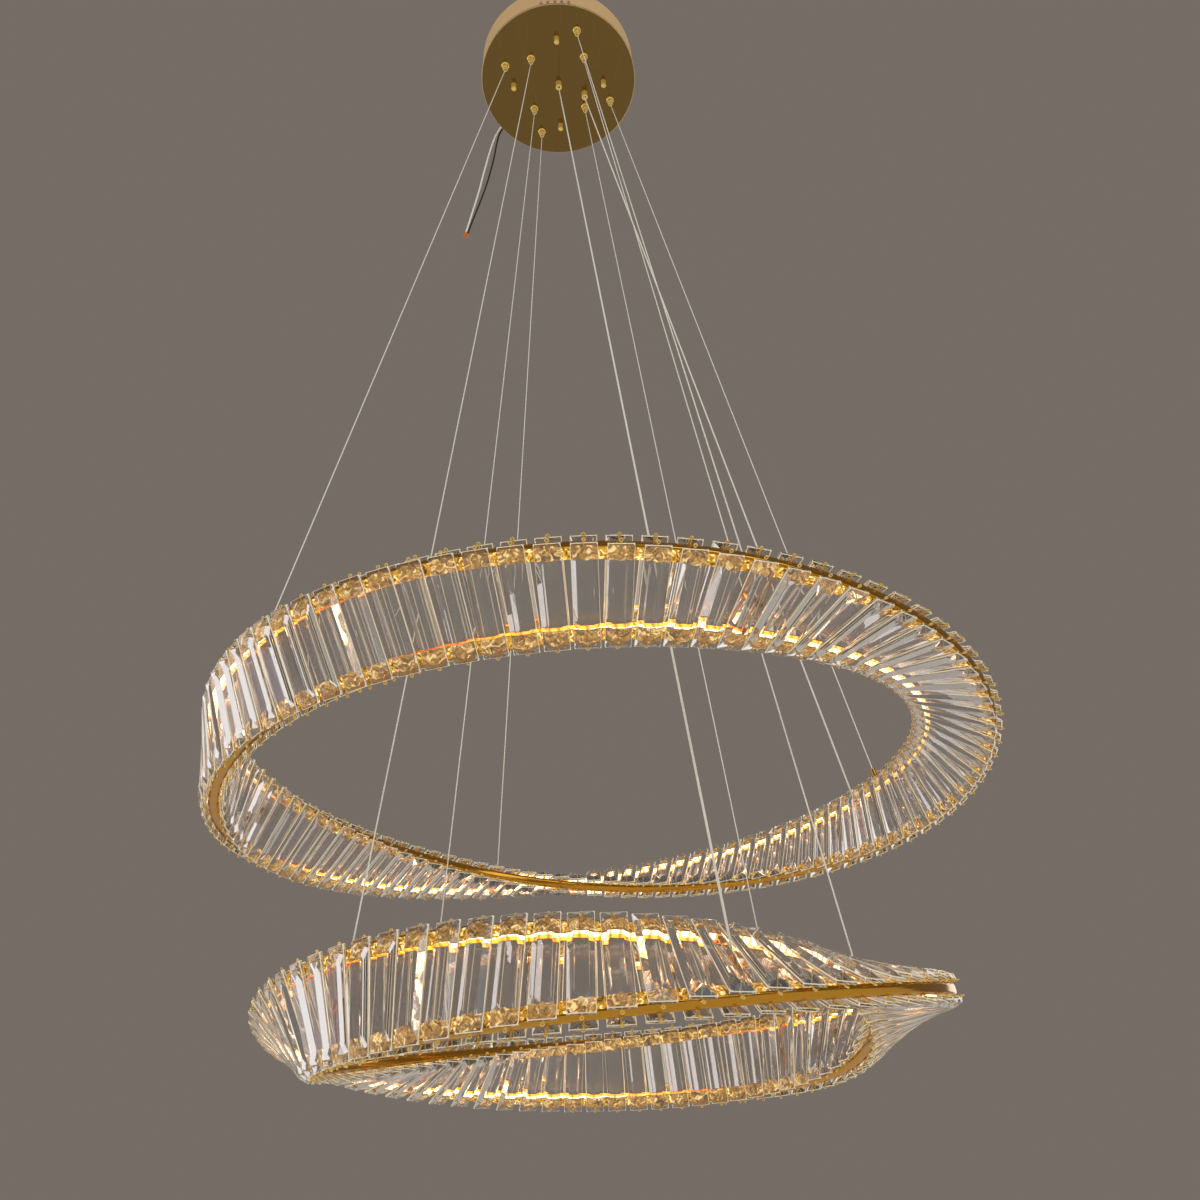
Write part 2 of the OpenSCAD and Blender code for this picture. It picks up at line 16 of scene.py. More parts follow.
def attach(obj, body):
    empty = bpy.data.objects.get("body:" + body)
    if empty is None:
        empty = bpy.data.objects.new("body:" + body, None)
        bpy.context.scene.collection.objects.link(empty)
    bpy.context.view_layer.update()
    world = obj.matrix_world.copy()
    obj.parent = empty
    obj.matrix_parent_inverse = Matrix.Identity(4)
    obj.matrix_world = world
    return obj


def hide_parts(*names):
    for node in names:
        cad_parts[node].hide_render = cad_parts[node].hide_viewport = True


bl_info = {
    "name": "Crystal chandelier",
    "version": (1, 0, 0),
    "blender": (4, 5, 0),
    "location": "3D View > Sidebar > Chandelier",
    "description": "Cut crystals, gilt rails, wires and light for a two-ring chandelier",
    "category": "Object",
}

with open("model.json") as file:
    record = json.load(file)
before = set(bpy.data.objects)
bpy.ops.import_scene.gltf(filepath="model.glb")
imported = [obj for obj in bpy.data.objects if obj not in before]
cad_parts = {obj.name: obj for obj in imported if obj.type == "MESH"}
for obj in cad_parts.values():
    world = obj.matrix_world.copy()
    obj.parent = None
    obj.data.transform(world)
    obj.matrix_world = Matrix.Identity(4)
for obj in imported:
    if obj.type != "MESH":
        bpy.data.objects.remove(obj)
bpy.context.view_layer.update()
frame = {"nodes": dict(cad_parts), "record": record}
MM = 0.001

# Lengths that count as the same, and how close spots grow together
NEAR = 0.1 * MM
WELD = 0.01 * MM


class Ring(NamedTuple):
    """A twisted band of the chandelier. Lengths are in metres and angles in degrees."""

    name: str
    radius: float
    height: float
    start: float
    turns: int
    leads: tuple
    crystals: int
    first_wire: float
    steps: int


# How the bands twist. A lead is how far the twist runs ahead of an even one, where, and how many
# times round.
UPPER = Ring("upper", 0.400, -1.414, -206.6, 1, ((12, 146, 1), (6, 21.5, 2)), 96, 21, 288)
LOWER = Ring("lower", 0.300, -1.681, 60.5, -1, ((-2.4, 90, 1), (-5.6, 45, 2)), 72, 45, 216)
RINGS = (UPPER, LOWER)

# The band in section, from its middle: across it and out of its face
BAND_HALF = 42 * MM
RAIL_HALF = 5.5 * MM
RAIL_DEPTH = 13 * MM
RAIL_WALL = 1.2 * MM
RAIL_MOUTH = BAND_HALF - RAIL_DEPTH
STRIP_HALF = 3.5 * MM
STRIP_FACE = RAIL_MOUTH + 2.5 * MM
STRIP_BACK = BAND_HALF - RAIL_WALL - 0.7 * MM
STANDOFF = 2.7 * MM
CRYSTAL_BACK = RAIL_HALF + STANDOFF

# A crystal bar: half width, half length, square edge, thickness, and the table's corners and point
CRYSTAL_X = 10.75 * MM
CRYSTAL_Y = 44.5 * MM
CRYSTAL_EDGE = 2.5 * MM
CRYSTAL_T = 7 * MM
TABLE_X = CRYSTAL_X - 5 * MM
TABLE_Y = CRYSTAL_Y - 16 * MM
TABLE_POINT = CRYSTAL_Y - 8 * MM

# An eye pin: the eye and its middle, where the head sits, the head, and the rivet with its cap
EYE_D = 3.8 * MM
EYE_Y = CRYSTAL_Y + 1.4 * MM
SEAT_Y = BAND_HALF - 4 * MM
HEAD_R = 1.5 * MM
HEAD_PLAY = 0.9 * MM
RIVET_R = 0.6 * MM
RIVET_TOP = CRYSTAL_BACK + 6.4 * MM
CAP_R = 1.1 * MM
CAP_T = 0.4 * MM

# The clear jacket of a wire, and how long an edge has to be to lie on the wire's long part
JACKET = 0.25 * MM
LONG_EDGE = 0.1

# The mains lead: where its cores leave, and their route as distance, spread and height
LEAD_AZ = 138
LEAD_FACE = 141.3 * MM
CORE_D = 3 * MM
CORE_SIDE = 2.4 * MM
LEAD_ROUTE = (
    (-1, 0, -24), (6, 0, -24), (13, 0, -25), (20, 0, -30), (26, 1, -39), (31, 2, -52),
    (36, 3, -68), (42, 4, -88), (49, 4, -110), (57, 4, -134), (66, 3, -159),
    (77, 2, -184), (89, 1, -209), (100, 0, -232), (107, 0, -247),
)  # fmt: skip
TIP_R = 2.5 * MM
TIP_LENGTH = 6 * MM

# The camera that was fitted to the photograph: its place, pitch, roll and yaw, lens and shift
CAMERA_PLACE = (-0.0002, -1.0758, -1.8437)
CAMERA_TURN = (31.154, 3.367, -1.366)
CAMERA_LENS = 30.225
CAMERA_SHIFT = (-0.0031, 0.0117)

# The studio: its floor, and each soft light with its place, width and height, and watts
FLOOR_Z = -2.6
FLOOR_RADIUS = 5
LAMP_MIDDLE = (0, 0, -1.5)
SOFT_LIGHTS = (
    ("window_light", (-2.7, 0.6, -1.1), (1.8, 2.6), 15),
    ("key_light", (1.5, -2.6, -0.3), (2.0, 1.4), 11),
    ("rim_light", (1.8, 2.4, -0.6), (1.2, 2.0), 8),
)
SOFT_STRENGTH = 0.75

# Sockets of a colour mix, which go by number: its two colours and its result
COLOUR_A, COLOUR_B, MIXED = 6, 7, 2


def turn(ring, az):
    """How far the band has turned about its own middle at an azimuth, in degrees."""
    angle = ring.start + ring.turns * az
    for lead, at, times in ring.leads:
        angle += lead * math.cos(math.radians(times * (az - at)))
    return angle


def band_point(ring, az, across, out):
    """A point of the band at an azimuth, from its place across the band and out of its face."""
    p, a = math.radians(turn(ring, az)), math.radians(az)
    r = ring.radius + across * math.sin(p) + out * math.cos(p)
    z = ring.height + across * math.cos(p) - out * math.sin(p)
    return Vector((r * math.cos(a), r * math.sin(a), z))


def band_matrix(ring, az, face=1):
    """The band's own frame: X along the ring, Y across the band and Z out of the face."""

    def spin(angle, axis):
        return Matrix.Rotation(math.radians(angle), 4, axis)

    middle = Matrix.Translation((0, 0, ring.height))
    place = middle @ spin(az, "Z") @ Matrix.Translation((ring.radius, 0, 0))
    flip = 0 if face > 0 else 180
    return place @ spin(90, "Z") @ spin(90, "X") @ spin(turn(ring, az) + flip, "X")


def crystal_azimuths(ring):
    """Crystals stand evenly, with each wire's seat halfway between two of them."""
    step = 360 / ring.crystals
    return [ring.first_wire + (i + 0.5) * step for i in range(ring.crystals)]


def both_rails():
    """Goes through the rails: the ring, the side of the band, the letter, and the ring's length."""
    for ring in RINGS:
        for side, letter in ((1, "a"), (-1, "b")):
            yield ring, side, letter, 2 * math.pi * ring.radius


def both_faces():
    """Goes through the faces that carry crystals: the ring, the face and its word."""
    for ring in RINGS:
        for face, word in ((1, "out"), (-1, "in")):
            yield ring, face, word


# Tools for modelling in operators


def deselect_all():
    """Leaves object mode with nothing selected."""
    if bpy.context.object and bpy.context.object.mode != "OBJECT":
        bpy.ops.object.mode_set(mode="OBJECT")
    bpy.ops.object.select_all(action="DESELECT")


def select_only(*pieces):
    deselect_all()
    for piece in pieces:
        piece.select_set(True)
    bpy.context.view_layer.objects.active = pieces[0]


def name_piece(name):
    """Names the active object and puts its place into its mesh."""
    piece = bpy.context.object
    piece.name = piece.data.name = name
    bpy.ops.object.transform_apply(location=True, rotation=True, scale=True)
    return piece


def add_box(name, low, high):
    """Adds a box between two corners."""
    deselect_all()
    centre = [(a + b) / 2 for a, b in zip(low, high)]
    size = [b - a for a, b in zip(low, high)]
    bpy.ops.mesh.primitive_cube_add(size=1, location=centre, scale=size)
    return name_piece(name)


def pick(kind, test):
    """Selects the faces or edges of the active mesh that pass a test, in edit mode."""
    data = bpy.context.object.data
    mesh = bmesh.from_edit_mesh(data)
    bpy.context.tool_settings.mesh_select_mode = (False, kind == "EDGE", kind == "FACE")
    for part in (*mesh.faces, *mesh.edges, *mesh.verts):
        part.select = False
    mesh.normal_update()
    for part in mesh.faces if kind == "FACE" else mesh.edges:
        if test(part):
            part.select_set(True)
    mesh.select_flush_mode()
    bmesh.update_edit_mesh(data)


def edit(piece):
    select_only(piece)
    bpy.ops.object.mode_set(mode="EDIT")


def join(pieces, name):
    """Joins pieces into the first, which gets the name."""
    select_only(*pieces)
    bpy.ops.object.join()
    joined = bpy.context.object
    joined.name = joined.data.name = name
    return joined


def copies_at(template, places, name):
    """Copies a modelled piece to each place, each copy with its own mesh, and joins them."""
    made = []
    for place in places:
        copy = template.copy()
        copy.data = template.data.copy()
        copy.data.transform(place)
        bpy.context.scene.collection.objects.link(copy)
        made.append(copy)
    return join(made, name)


def remove(piece):
    mesh = piece.data
    bpy.data.objects.remove(piece)
    bpy.data.meshes.remove(mesh)


def smooth(piece, angle):
    select_only(piece)
    bpy.ops.object.shade_smooth_by_angle(angle=math.radians(angle))


def apply_modifier(piece, kind, **settings):
    """Adds a modifier with its settings and applies it."""
    select_only(piece)
    modifier = piece.modifiers.new(kind.title(), kind)
    for key, value in settings.items():
        setattr(modifier, key, value)
    bpy.ops.object.modifier_apply(modifier=modifier.name)


def hand_over(piece, body, slot, *nodes, accent=None):
    """Gives a finished piece its finish and its body, and hides the CAD nodes that it stands for.

    Faces with material index 1 get the accent finish.
    """
    faces = piece.data.polygons if piece.type == "MESH" else ()
    kept = [face.material_index for face in faces]
    piece.data.materials.clear()
    for name in filter(None, (slot, accent)):
        piece.data.materials.append(bpy.data.materials[name])
    for face, index in zip(faces, kept):
        face.material_index = index
    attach(piece, body)
    if nodes:
        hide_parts(*nodes)


# Finishes


def linear(colour):
    """An sRGB hex colour as linear red, green, blue and alpha."""
    channels = [int(colour[i : i + 2], 16) / 255 for i in (1, 3, 5)]
    return (*[c / 12.92 if c <= 0.04045 else ((c + 0.055) / 1.055) ** 2.4 for c in channels], 1.0)


class Finishes(bpy.types.PropertyGroup):
    """Colours and strengths that someone may want to change."""

    rail_colour: FloatVectorProperty(
        name="Rails", description="Titanium gold plating of the rails", subtype="COLOR", size=4,
        min=0, max=1, default=linear("#D49C38"),
    )  # fmt: skip
    plate_colour: FloatVectorProperty(
        name="Plate", description="Bronze gold mirror of the canopy plate", subtype="COLOR", size=4,
        min=0, max=1, default=linear("#80673A"),
    )  # fmt: skip
    glow_colour: FloatVectorProperty(
        name="Light", description="Warm white of the light strips", subtype="COLOR", size=4,
        min=0, max=1, default=linear("#FFE9C8"),
    )  # fmt: skip
    glow_strength: FloatProperty(
        name="Light strength", description="Strength of the light strips",
        min=0, soft_max=20, default=9,
    )  # fmt: skip


class Sizes(bpy.types.PropertyGroup):
    """Sizes of the dressing that someone may want to change."""

    rail_rounding: FloatProperty(
        name="Rail rounding", description="Radius of the rails' outer edges",
        subtype="DISTANCE", unit="LENGTH", min=0.0002, max=0.004, default=3.6 * MM,
    )  # fmt: skip
    crystal_chamfer: FloatProperty(
        name="Crystal chamfer", description="Width of the polished edge between two facets",
        subtype="DISTANCE", unit="LENGTH", min=0.0001, max=0.0008, default=0.5 * MM,
    )  # fmt: skip
    pin_wire: FloatProperty(
        name="Pin wire", description="Diameter of the wire that the eye pins are bent from",
        subtype="DISTANCE", unit="LENGTH", min=0.0006, max=0.0014, default=1.2 * MM,
    )  # fmt: skip
    eye_sides: IntProperty(
        name="Eye sides", description="Number of steps round the eye of a pin",
        min=8, max=24, default=12,
    )  # fmt: skip


def new_material(name, settings):
    """Makes a material in place of the CAD's plain one. Gives its node tree and its shader."""
    if name in bpy.data.materials:
        bpy.data.materials.remove(bpy.data.materials[name])
    material = bpy.data.materials.new(name)
    material.use_nodes = True
    shader = material.node_tree.nodes["Principled BSDF"]
    for socket, value in settings.items():
        shader.inputs[socket].default_value = value
    return material.node_tree, shader


def add_node(tree, kind, settings=(), links=(), onward=()):
    """Adds a node. Settings name its properties or sockets.

    Links come in as (node, its output, own socket) and go onward as (own output, node, its socket).
    """
    made = tree.nodes.new(kind)
    for key, value in dict(settings).items():
        if isinstance(key, str) and hasattr(made, key):
            setattr(made, key, value)
        else:
            made.inputs[key].default_value = value
    for source, output, own in links:
        tree.links.new(source.outputs[output], made.inputs[own])
    for output, target, socket in onward:
        tree.links.new(made.outputs[output], target.inputs[socket])
    return made


def cloudy(tree, size, detail=3.0):
    """Noise on Object coordinates with clouds of a real size in metres."""
    place = add_node(tree, "ShaderNodeTexCoord")
    settings = {"Scale": 1 / size, "Detail": detail}
    return add_node(tree, "ShaderNodeTexNoise", settings, [(place, "Object", "Vector")])


def wave_scale(period):
    """The scale that gives a wave texture one crest in each period, in metres."""
    return math.pi / 10 / period


def plated(name, colour, polish, smudge, size, metallic=1.0):
    """Polished metal with a gold coat: clear mirror reflections, slightly uneven from handling."""
    tree, shader = new_material(name, {"Base Color": colour, "Metallic": metallic})
    add_node(
        tree, "ShaderNodeMapRange", {"To Min": polish, "To Max": smudge},
        [(cloudy(tree, size), "Fac", "Value")], [(0, shader, "Roughness")],
    )  # fmt: skip
    return tree, shader


def die_lines(tree, shader):
    """Fine lines along an extrusion, from its die. They break reflections up across the rail."""
    place = add_node(tree, "ShaderNodeUVMap", {"uv_map": "UVMap"})
    length, width = 90 * MM, 1.6 * MM
    stretch = {"Scale": (1 / length, 1 / width, 1)}
    scaled = add_node(tree, "ShaderNodeMapping", stretch, [(place, 0, "Vector")])
    lines = add_node(tree, "ShaderNodeTexNoise", {"Scale": 1, "Detail": 2}, [(scaled, 0, "Vector")])
    add_node(
        tree, "ShaderNodeBump", {"Distance": 0.12 * MM}, [(lines, "Fac", "Height")],
        [("Normal", shader, "Normal")],
    )  # fmt: skip


def painted_seat_light(tree, shader, colour):
    """A clear coat on the gold behind the crystals' ends, with painted light and shade in its
    colour: dark patches of painted shade and bright painted glints that glow, for the reflections
    and the strips' light seen through the crystals.
    """
    shader.inputs["Coat Weight"].default_value = 0.8
    shader.inputs["Coat Roughness"].default_value = 0.04
    shade_glint_noise = cloudy(tree, 4.5 * MM, 2.5)
    shade_glint_noise.inputs["Distortion"].default_value = 1.5
    # where the painted shade turns to gold, and where the painted glints sit
    gold, painted_glints = (
        add_node(tree, "ShaderNodeMapRange", span, [(shade_glint_noise, "Fac", "Value")])
        for span in ({"From Min": 0.34, "From Max": 0.52}, {"From Min": 0.54, "From Max": 0.64})
    )
    tint = add_node(
        tree, "ShaderNodeMix", {"data_type": "RGBA", COLOUR_A: linear("#6A4806"), COLOUR_B: colour},
        [(gold, 0, 0)],
    )  # fmt: skip
    # the painted glints glow, though they are no lamp, in place of the strips' light through the
    # crystals
    add_node(
        tree, "ShaderNodeMix", {"data_type": "RGBA", COLOUR_B: linear("#FFE7A2")},
        [(painted_glints, 0, 0), (tint, MIXED, COLOUR_A)],
        [(MIXED, shader, "Base Color"), (MIXED, shader, "Emission Color")],
    )  # fmt: skip
    add_node(
        tree, "ShaderNodeMapRange", {"To Min": 0.34, "To Max": 1.1},
        [(painted_glints, 0, "Value")], [(0, shader, "Emission Strength")],
    )  # fmt: skip
    add_node(
        tree, "ShaderNodeBump", {"Distance": 1.5 * MM}, [(shade_glint_noise, "Fac", "Height")],
        [("Normal", shader, "Normal"), ("Normal", shader, "Coat Normal")],
    )  # fmt: skip


def moulded(name, colour, roughness, grain, height):
    """Moulded plastic or rubber: one body colour and a faint grain from the mould."""
    settings = {"Base Color": linear(colour), "Roughness": roughness, "IOR": 1.47}
    tree, shader = new_material(name, settings)
    add_node(
        tree, "ShaderNodeBump", {"Distance": height}, [(cloudy(tree, grain), "Fac", "Height")],
        [("Normal", shader, "Normal")],
    )  # fmt: skip


def optical_crystal():
    """K9 optical glass, cut and polished: clear, with a faint play of colour on its facets."""
    # a vapour coat of 340 nanometres gives the lavender and rose tints of such facets
    tree, shader = new_material("crystal", {
        "Base Color": linear("#E6E3E2"), "Roughness": 0, "IOR": 1.52, "Transmission Weight": 0.94,
        "Thin Film Thickness": 340, "Thin Film IOR": 1.44,
    })  # fmt: skip
    # the polishing wheel leaves long soft waves
    add_node(
        tree, "ShaderNodeBump", {"Distance": 0.02 * MM},
        [(cloudy(tree, 9 * MM, 1.0), "Fac", "Height")], [("Normal", shader, "Normal")],
    )  # fmt: skip


def painted_glow_edge():
    """The narrow edges round a crystal: paler, with a painted glow though they are no lamp, in
    place of the light of the strips; it outlines each crystal.
    """
    new_material("crystal_edge", {
        "Base Color": linear("#FFF4DC"), "Roughness": 0.22, "IOR": 1.52, "Transmission Weight": 0.4,
        "Emission Color": linear("#FFEFC8"), "Emission Strength": 0.22,
    })  # fmt: skip


def silicone_light(finishes):
    """Milky silicone over light diodes: warm white, with the yellow of a diode here and there."""
    settings = {"Base Color": linear("#FFF6E4"), "Roughness": 0.45}
    tree, shader = new_material("light_strip", settings)
    place = add_node(tree, "ShaderNodeUVMap", {"uv_map": "UVMap"})
    # a diode every 8.3 mm along the strip
    diodes = {"Scale": wave_scale(8.3 * MM)}
    wave = add_node(tree, "ShaderNodeTexWave", diodes, [(place, 0, "Vector")])
    spots = add_node(
        tree, "ShaderNodeMapRange", {"interpolation_type": "SMOOTHSTEP", "From Min": 0.6},
        [(wave, "Fac", "Value")],
    )  # fmt: skip
    glow = finishes.glow_strength
    add_node(
        tree, "ShaderNodeMapRange", {"To Min": 0.5 * glow, "To Max": 0.2 * glow},
        [(spots, 0, "Value")], [(0, shader, "Emission Strength")],
    )  # fmt: skip
    add_node(
        tree, "ShaderNodeMix",
        {"data_type": "RGBA", COLOUR_A: finishes.glow_colour, COLOUR_B: linear("#FFBE3A")},
        [(spots, 0, 0)], [(MIXED, shader, "Emission Color")],
    )  # fmt: skip


def satin_paint():
    """Champagne stoving paint on spun steel: satin, with a fine orange peel."""
    settings = {"Base Color": linear("#E2BC87"), "Metallic": 0.15, "Roughness": 0.38}
    tree, shader = new_material("satin_champagne", settings)
    add_node(
        tree, "ShaderNodeBump", {"Distance": 0.02 * MM},
        [(cloudy(tree, 1.6 * MM), "Fac", "Height")], [("Normal", shader, "Normal")],
    )  # fmt: skip


def zinc_plate():
    """Bright zinc on pressed steel: pale grey with faint crystals in the coat."""
    tree, shader = new_material("zinc_steel", {"Base Color": linear("#BDBDB8"), "Metallic": 1})
    place = add_node(tree, "ShaderNodeTexCoord")
    grains = {"Scale": 1 / (7 * MM)}
    spangle = add_node(tree, "ShaderNodeTexVoronoi", grains, [(place, "Object", "Vector")])
    add_node(
        tree, "ShaderNodeMapRange", {"To Min": 0.26, "To Max": 0.42},
        [(spangle, "Distance", "Value")], [(0, shader, "Roughness")],
    )  # fmt: skip


def stranded_steel():
    """Steel rope in a clear jacket: it looks almost white, with the soft twist of its strands."""
    tree, shader = new_material("wire_steel", {"Base Color": linear("#FBF6EC"), "Metallic": 0.2})
    place = add_node(tree, "ShaderNodeTexCoord")
    # the lay is drawn at 6 mm, because the real one is too fine to show
    lay = add_node(
        tree, "ShaderNodeTexWave", {"bands_direction": "DIAGONAL", "Scale": wave_scale(6 * MM)},
        [(place, "Object", "Vector")],
    )  # fmt: skip
    add_node(
        tree, "ShaderNodeMapRange", {"To Min": 0.28, "To Max": 0.5},
        [(lay, "Fac", "Value")], [(0, shader, "Roughness")],
    )  # fmt: skip


class CHANDELIER_OT_finishes(bpy.types.Operator):
    """Makes every finish and puts it on the CAD nodes"""

    bl_idname = "chandelier.finishes"
    bl_label = "Finishes"

    def execute(self, context):
        finishes = context.scene.chandelier_finishes
        rail = (finishes.rail_colour, 0.06, 0.2, 18 * MM)
        die_lines(*plated("rail_gold", *rail))
        # the gold under the crystals' ends carries painted shade and painted glints
        painted_seat_light(*plated("seat_gold", *rail, metallic=0.45), linear("#F4B534"))
        # the plate's eased rim: a paler copy of the plate gold, a painted highlight
        plated("rim_gold", linear("#E3C690"), 0.2, 0.3, 20 * MM, 0.4)
        plated("mirror_gold", finishes.plate_colour, 0.03, 0.1, 35 * MM)
        plated("fitting_gold", linear("#FFDA78"), 0.16, 0.3, 6 * MM, 0.4)
        satin_paint()
        zinc_plate()
        stranded_steel()
        optical_crystal()
        painted_glow_edge()
        silicone_light(finishes)
        moulded("white_plastic", "#E8E6E0", 0.4, 0.8 * MM, 0.02 * MM)
        moulded("feed_jacket", "#EDE8DE", 0.3, 2 * MM, 0.05 * MM)
        moulded("grey_rubber", "#3A3A3A", 0.65, 0.9 * MM, 0.05 * MM)
        moulded("white_jacket", "#F5F2EB", 0.42, 3 * MM, 0.06 * MM)
        moulded("black_jacket", "#2A2623", 0.42, 3 * MM, 0.06 * MM)
        moulded("orange_cap", "#D8743A", 0.38, 1.2 * MM, 0.04 * MM)
        for row in frame["record"]["subparts"]:
            node = frame["nodes"][row["node"]]
            node.data.materials.clear()
            node.data.materials.append(bpy.data.materials[row["material_slot"]])
        return {"FINISHED"}


# Canopy fittings


def edge_length(spots, edge):
    a, b = (spots[i].co for i in edge.vertices)
    return (a - b).length


class CHANDELIER_OT_round_edges(bpy.types.Operator):
    """Shades the turned and drilled CAD nodes smooth and eases their edges"""

    bl_idname = "chandelier.round_edges"
    bl_label = "Round edges"

    def execute(self, context):
        eased = {"canopy_plate": 0.8 * MM, "canopy_pan": 0.3 * MM, "ceiling_bracket": 0.2 * MM}
        flat_angle, round_angle, sharp_angle = (math.radians(a) for a in (20, 34, 50))
        skipped = ("crystals", "rail", "strip", "pins", "lead_white", "lead_black")
        for name, node in frame["nodes"].items():
            if any(word in name for word in skipped):
                continue
            for face in node.data.polygons:
                face.use_smooth = True
            node.modifiers.new("Weld", "WELD").merge_threshold = 0.001 * MM
            if name in eased:
                bevel = node.modifiers.new("Bevel", "BEVEL")
                bevel.width, bevel.segments, bevel.angle_limit = eased[name], 2, sharp_angle
                if name == "canopy_plate":
                    # the eased rim gets the paler gold of a painted highlight
                    node.data.materials.append(bpy.data.materials["rim_gold"])
                    bevel.material = 1
            if "_wire_" in name:
                self.add_jacket(node)
            # broad flat faces stay flat where they meet an eased edge
            split = node.modifiers.new("Edges", "EDGE_SPLIT")
            split.split_angle = flat_angle if name in eased else round_angle
        return {"FINISHED"}

    def add_jacket(self, wire):
        """Puts the clear jacket on the long part of a wire, and leaves the stop at its end bare."""
        spots, edges = wire.data.vertices, wire.data.edges
        ends = {i for edge in edges if edge_length(spots, edge) > LONG_EDGE for i in edge.vertices}
        wire.vertex_groups.new(name="long_part").add(list(ends), 1, "REPLACE")
        jacket = wire.modifiers.new("Jacket", "DISPLACE")
        jacket.vertex_group = "long_part"
        jacket.mid_level, jacket.strength = 0, JACKET


# Bands


def wrap(piece, ring, length, side):
    """Bends a straight piece that lies along X round the band, on one side of it or the other."""
    for vertex in piece.data.vertices:
        x, y, z = vertex.co
        vertex.co = band_point(ring, 360 * x / length, side * y, side * z)
    piece.data.update()
    edit(piece)
    bpy.ops.mesh.select_all(action="SELECT")
    bpy.ops.mesh.remove_doubles(threshold=WELD)
    bpy.ops.mesh.normals_make_consistent(inside=False)
    bpy.ops.object.mode_set(mode="OBJECT")


def repeat_along(piece, step, count):
    """Repeats an open stretch end to end along X."""
    apply_modifier(
        piece, "ARRAY", use_relative_offset=False, use_constant_offset=True,
        constant_offset_displace=(step, 0, 0), count=count, use_merge_vertices=True,
        merge_threshold=WELD,
    )  # fmt: skip


def measure_along(piece):
    """Gives a straight piece a UV map in metres: the distance along it, and across its faces."""
    uv = piece.data.uv_layers.get("UVMap") or piece.data.uv_layers.new(name="UVMap")
    for loop in piece.data.loops:
        place = piece.data.vertices[loop.vertex_index].co
        uv.data[loop.index].uv = (place.x, place.y + place.z)


def runs_along(edge, low, high):
    """Whether an edge runs along X, at a Y between low and high."""
    a, b = (vertex.co for vertex in edge.verts)
    return abs(a.x - b.x) > NEAR and low < a.y < high


def is_end(face):
    """Whether a face closes the end of a stretch along X."""
    return abs(face.normal.x) > 0.9


class CHANDELIER_OT_rails(bpy.types.Operator):
    """Makes the gilt channel rails, as a straight channel bent round each band"""

    bl_idname = "chandelier.rails"
    bl_label = "Rails"

    def execute(self, context):
        sizes = context.scene.chandelier_sizes
        for ring, side, letter, length in both_rails():
            step = length / ring.steps
            node = f"{ring.name}_rail_{letter}"
            corners = (0, RAIL_MOUTH, -RAIL_HALF), (step, BAND_HALF, RAIL_HALF)
            rail = add_box(f"{node}_gilt", *corners)
            self.hollow(rail)
            self.round(sizes.rail_rounding)
            bpy.ops.object.mode_set(mode="OBJECT")
            for face in rail.data.polygons:
                # the faces under the crystals get the seat gold, with its painted shade and painted
                # glints
                face.material_index = int(abs(face.center.z) > RAIL_HALF - NEAR)
            repeat_along(rail, step, ring.steps)
            measure_along(rail)
            wrap(rail, ring, length, side)
            smooth(rail, 40)
            hand_over(rail, f"{ring.name}_ring", "rail_gold", node, accent="seat_gold")
        return {"FINISHED"}

    def hollow(self, rail):
        """Opens the ends of the stretch and sinks the channel into its mouth."""
        edit(rail)
        pick("FACE", is_end)
        bpy.ops.mesh.delete(type="FACE")
        pick("FACE", lambda face: face.normal.y < -0.9)
        bpy.ops.mesh.inset(thickness=RAIL_WALL, depth=0, use_boundary=False)
        depth = RAIL_DEPTH - RAIL_WALL
        bpy.ops.mesh.extrude_region_move(TRANSFORM_OT_translate={"value": (0, depth, 0)})
        pick("FACE", is_end)
        bpy.ops.mesh.delete(type="FACE")

    def round(self, radius):
        """Rounds the outer edges along the rail, and eases its lips."""
        pick("EDGE", lambda edge: runs_along(edge, BAND_HALF - NEAR, math.inf))
        bpy.ops.mesh.bevel(offset=radius, segments=5, affect="EDGES")
        pick("EDGE", lambda edge: runs_along(edge, -math.inf, RAIL_MOUTH + NEAR))
        bpy.ops.mesh.bevel(offset=0.25 * MM, segments=1, affect="EDGES")


class CHANDELIER_OT_strips(bpy.types.Operator):
    """Makes the glowing strips inside the rails"""

    bl_idname = "chandelier.strips"
    bl_label = "Light strips"

    def execute(self, context):
        for ring, side, letter, length in both_rails():
            step = length / ring.steps
            node = f"{ring.name}_strip_{letter}"
            corners = (0, STRIP_FACE, -STRIP_HALF), (step, STRIP_BACK, STRIP_HALF)
            strip = add_box(f"{node}_lit", *corners)
            edit(strip)
            pick("FACE", is_end)
            bpy.ops.mesh.delete(type="FACE")
            pick("EDGE", lambda edge: runs_along(edge, -math.inf, STRIP_FACE + NEAR))
            bpy.ops.mesh.bevel(offset=1.6 * MM, segments=3, affect="EDGES")
            bpy.ops.object.mode_set(mode="OBJECT")
            repeat_along(strip, step, ring.steps)
            measure_along(strip)
            wrap(strip, ring, length, side)
            smooth(strip, 50)
            hand_over(strip, f"{ring.name}_ring", "light_strip", node)
        return {"FINISHED"}


